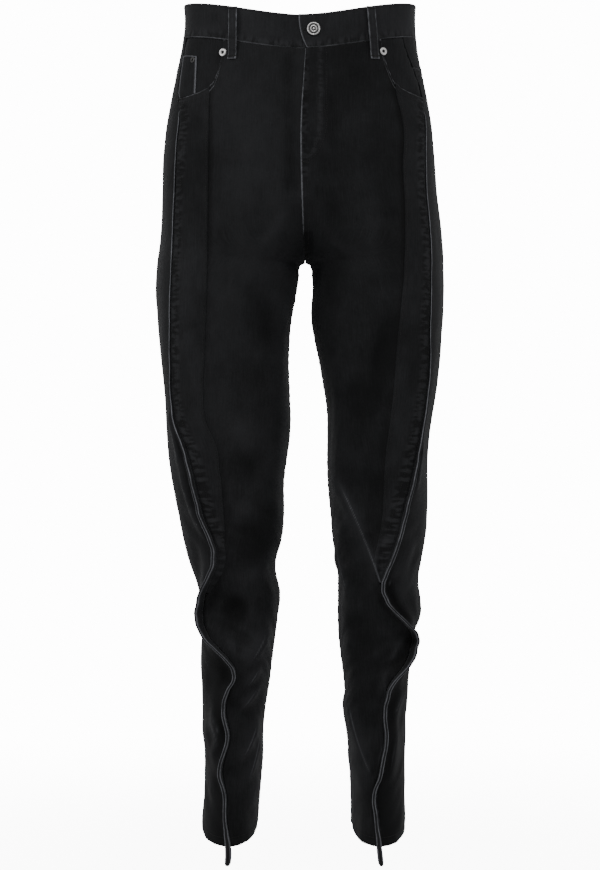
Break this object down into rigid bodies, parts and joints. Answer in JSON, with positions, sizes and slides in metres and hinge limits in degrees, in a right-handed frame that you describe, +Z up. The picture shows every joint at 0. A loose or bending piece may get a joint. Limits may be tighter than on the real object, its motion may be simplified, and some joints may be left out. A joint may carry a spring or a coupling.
{
  "type": "jeans, worn with no wearer",
  "caption": "Washed black jeans that keep their worn shape with no wearer: hollow bowed legs, a standing seam down each front, scooped hip pockets and a buttoned waistband.",
  "frame": {"origin": "centre of the waist opening, level with the upper edge of the waistband at the sides", "axes": "+Z up, the front faces -Y, +X towards the left leg as the wearer would have it"},
  "size_m": [0.3805, 0.2529, 1.125],
  "materials": {
    "washed_black_denim": "washed black cotton denim, matte, twill weave",
    "waistband_denim": "washed black cotton denim, doubled and topstitched",
    "worn_edge_denim": "washed black cotton denim, its folded edge rubbed to light grey",
    "nickel_silver": "plain silver-coloured metal, satin",
    "darkened_metal": "darkened metal, satin"
  },
  "bodies": {
    "root": {"waistband": "waistband_denim", "front_right_hip": "washed_black_denim", "front_right_thigh": "washed_black_denim", "front_right_knee": "washed_black_denim", "front_right_shin": "washed_black_denim", "front_right_cuff": "washed_black_denim", "front_left_hip": "washed_black_denim", "front_left_thigh": "washed_black_denim", "front_left_knee": "washed_black_denim", "front_left_shin": "washed_black_denim", "front_left_cuff": "washed_black_denim", "strip_right_hip": "washed_black_denim", "strip_right_thigh": "washed_black_denim", "strip_right_knee": "washed_black_denim", "strip_left_hip": "washed_black_denim", "strip_left_thigh": "washed_black_denim", "strip_left_knee": "washed_black_denim", "back_right_hip": "washed_black_denim", "back_right_thigh": "washed_black_denim", "back_right_knee": "washed_black_denim", "back_right_shin": "washed_black_denim", "back_right_cuff": "washed_black_denim", "back_left_hip": "washed_black_denim", "back_left_thigh": "washed_black_denim", "back_left_knee": "washed_black_denim", "back_left_shin": "washed_black_denim", "back_left_cuff": "washed_black_denim", "yoke_right": "washed_black_denim", "yoke_left": "washed_black_denim", "edge_right": "worn_edge_denim", "edge_left": "worn_edge_denim", "pocket_facing_right": "washed_black_denim", "pocket_facing_left": "washed_black_denim", "back_pocket_right": "washed_black_denim", "back_pocket_left": "washed_black_denim", "coin_pocket": "washed_black_denim", "fly_placket": "washed_black_denim", "belt_loop_front_right": "waistband_denim", "belt_loop_front_left": "waistband_denim", "belt_loop_back_right": "waistband_denim", "belt_loop_back_left": "waistband_denim", "belt_loop_centre_back": "waistband_denim", "button": "nickel_silver", "rivet_pocket_right": "nickel_silver", "rivet_pocket_left": "nickel_silver", "rivet_coin_pocket": "darkened_metal"}
  },
  "joints": []
}
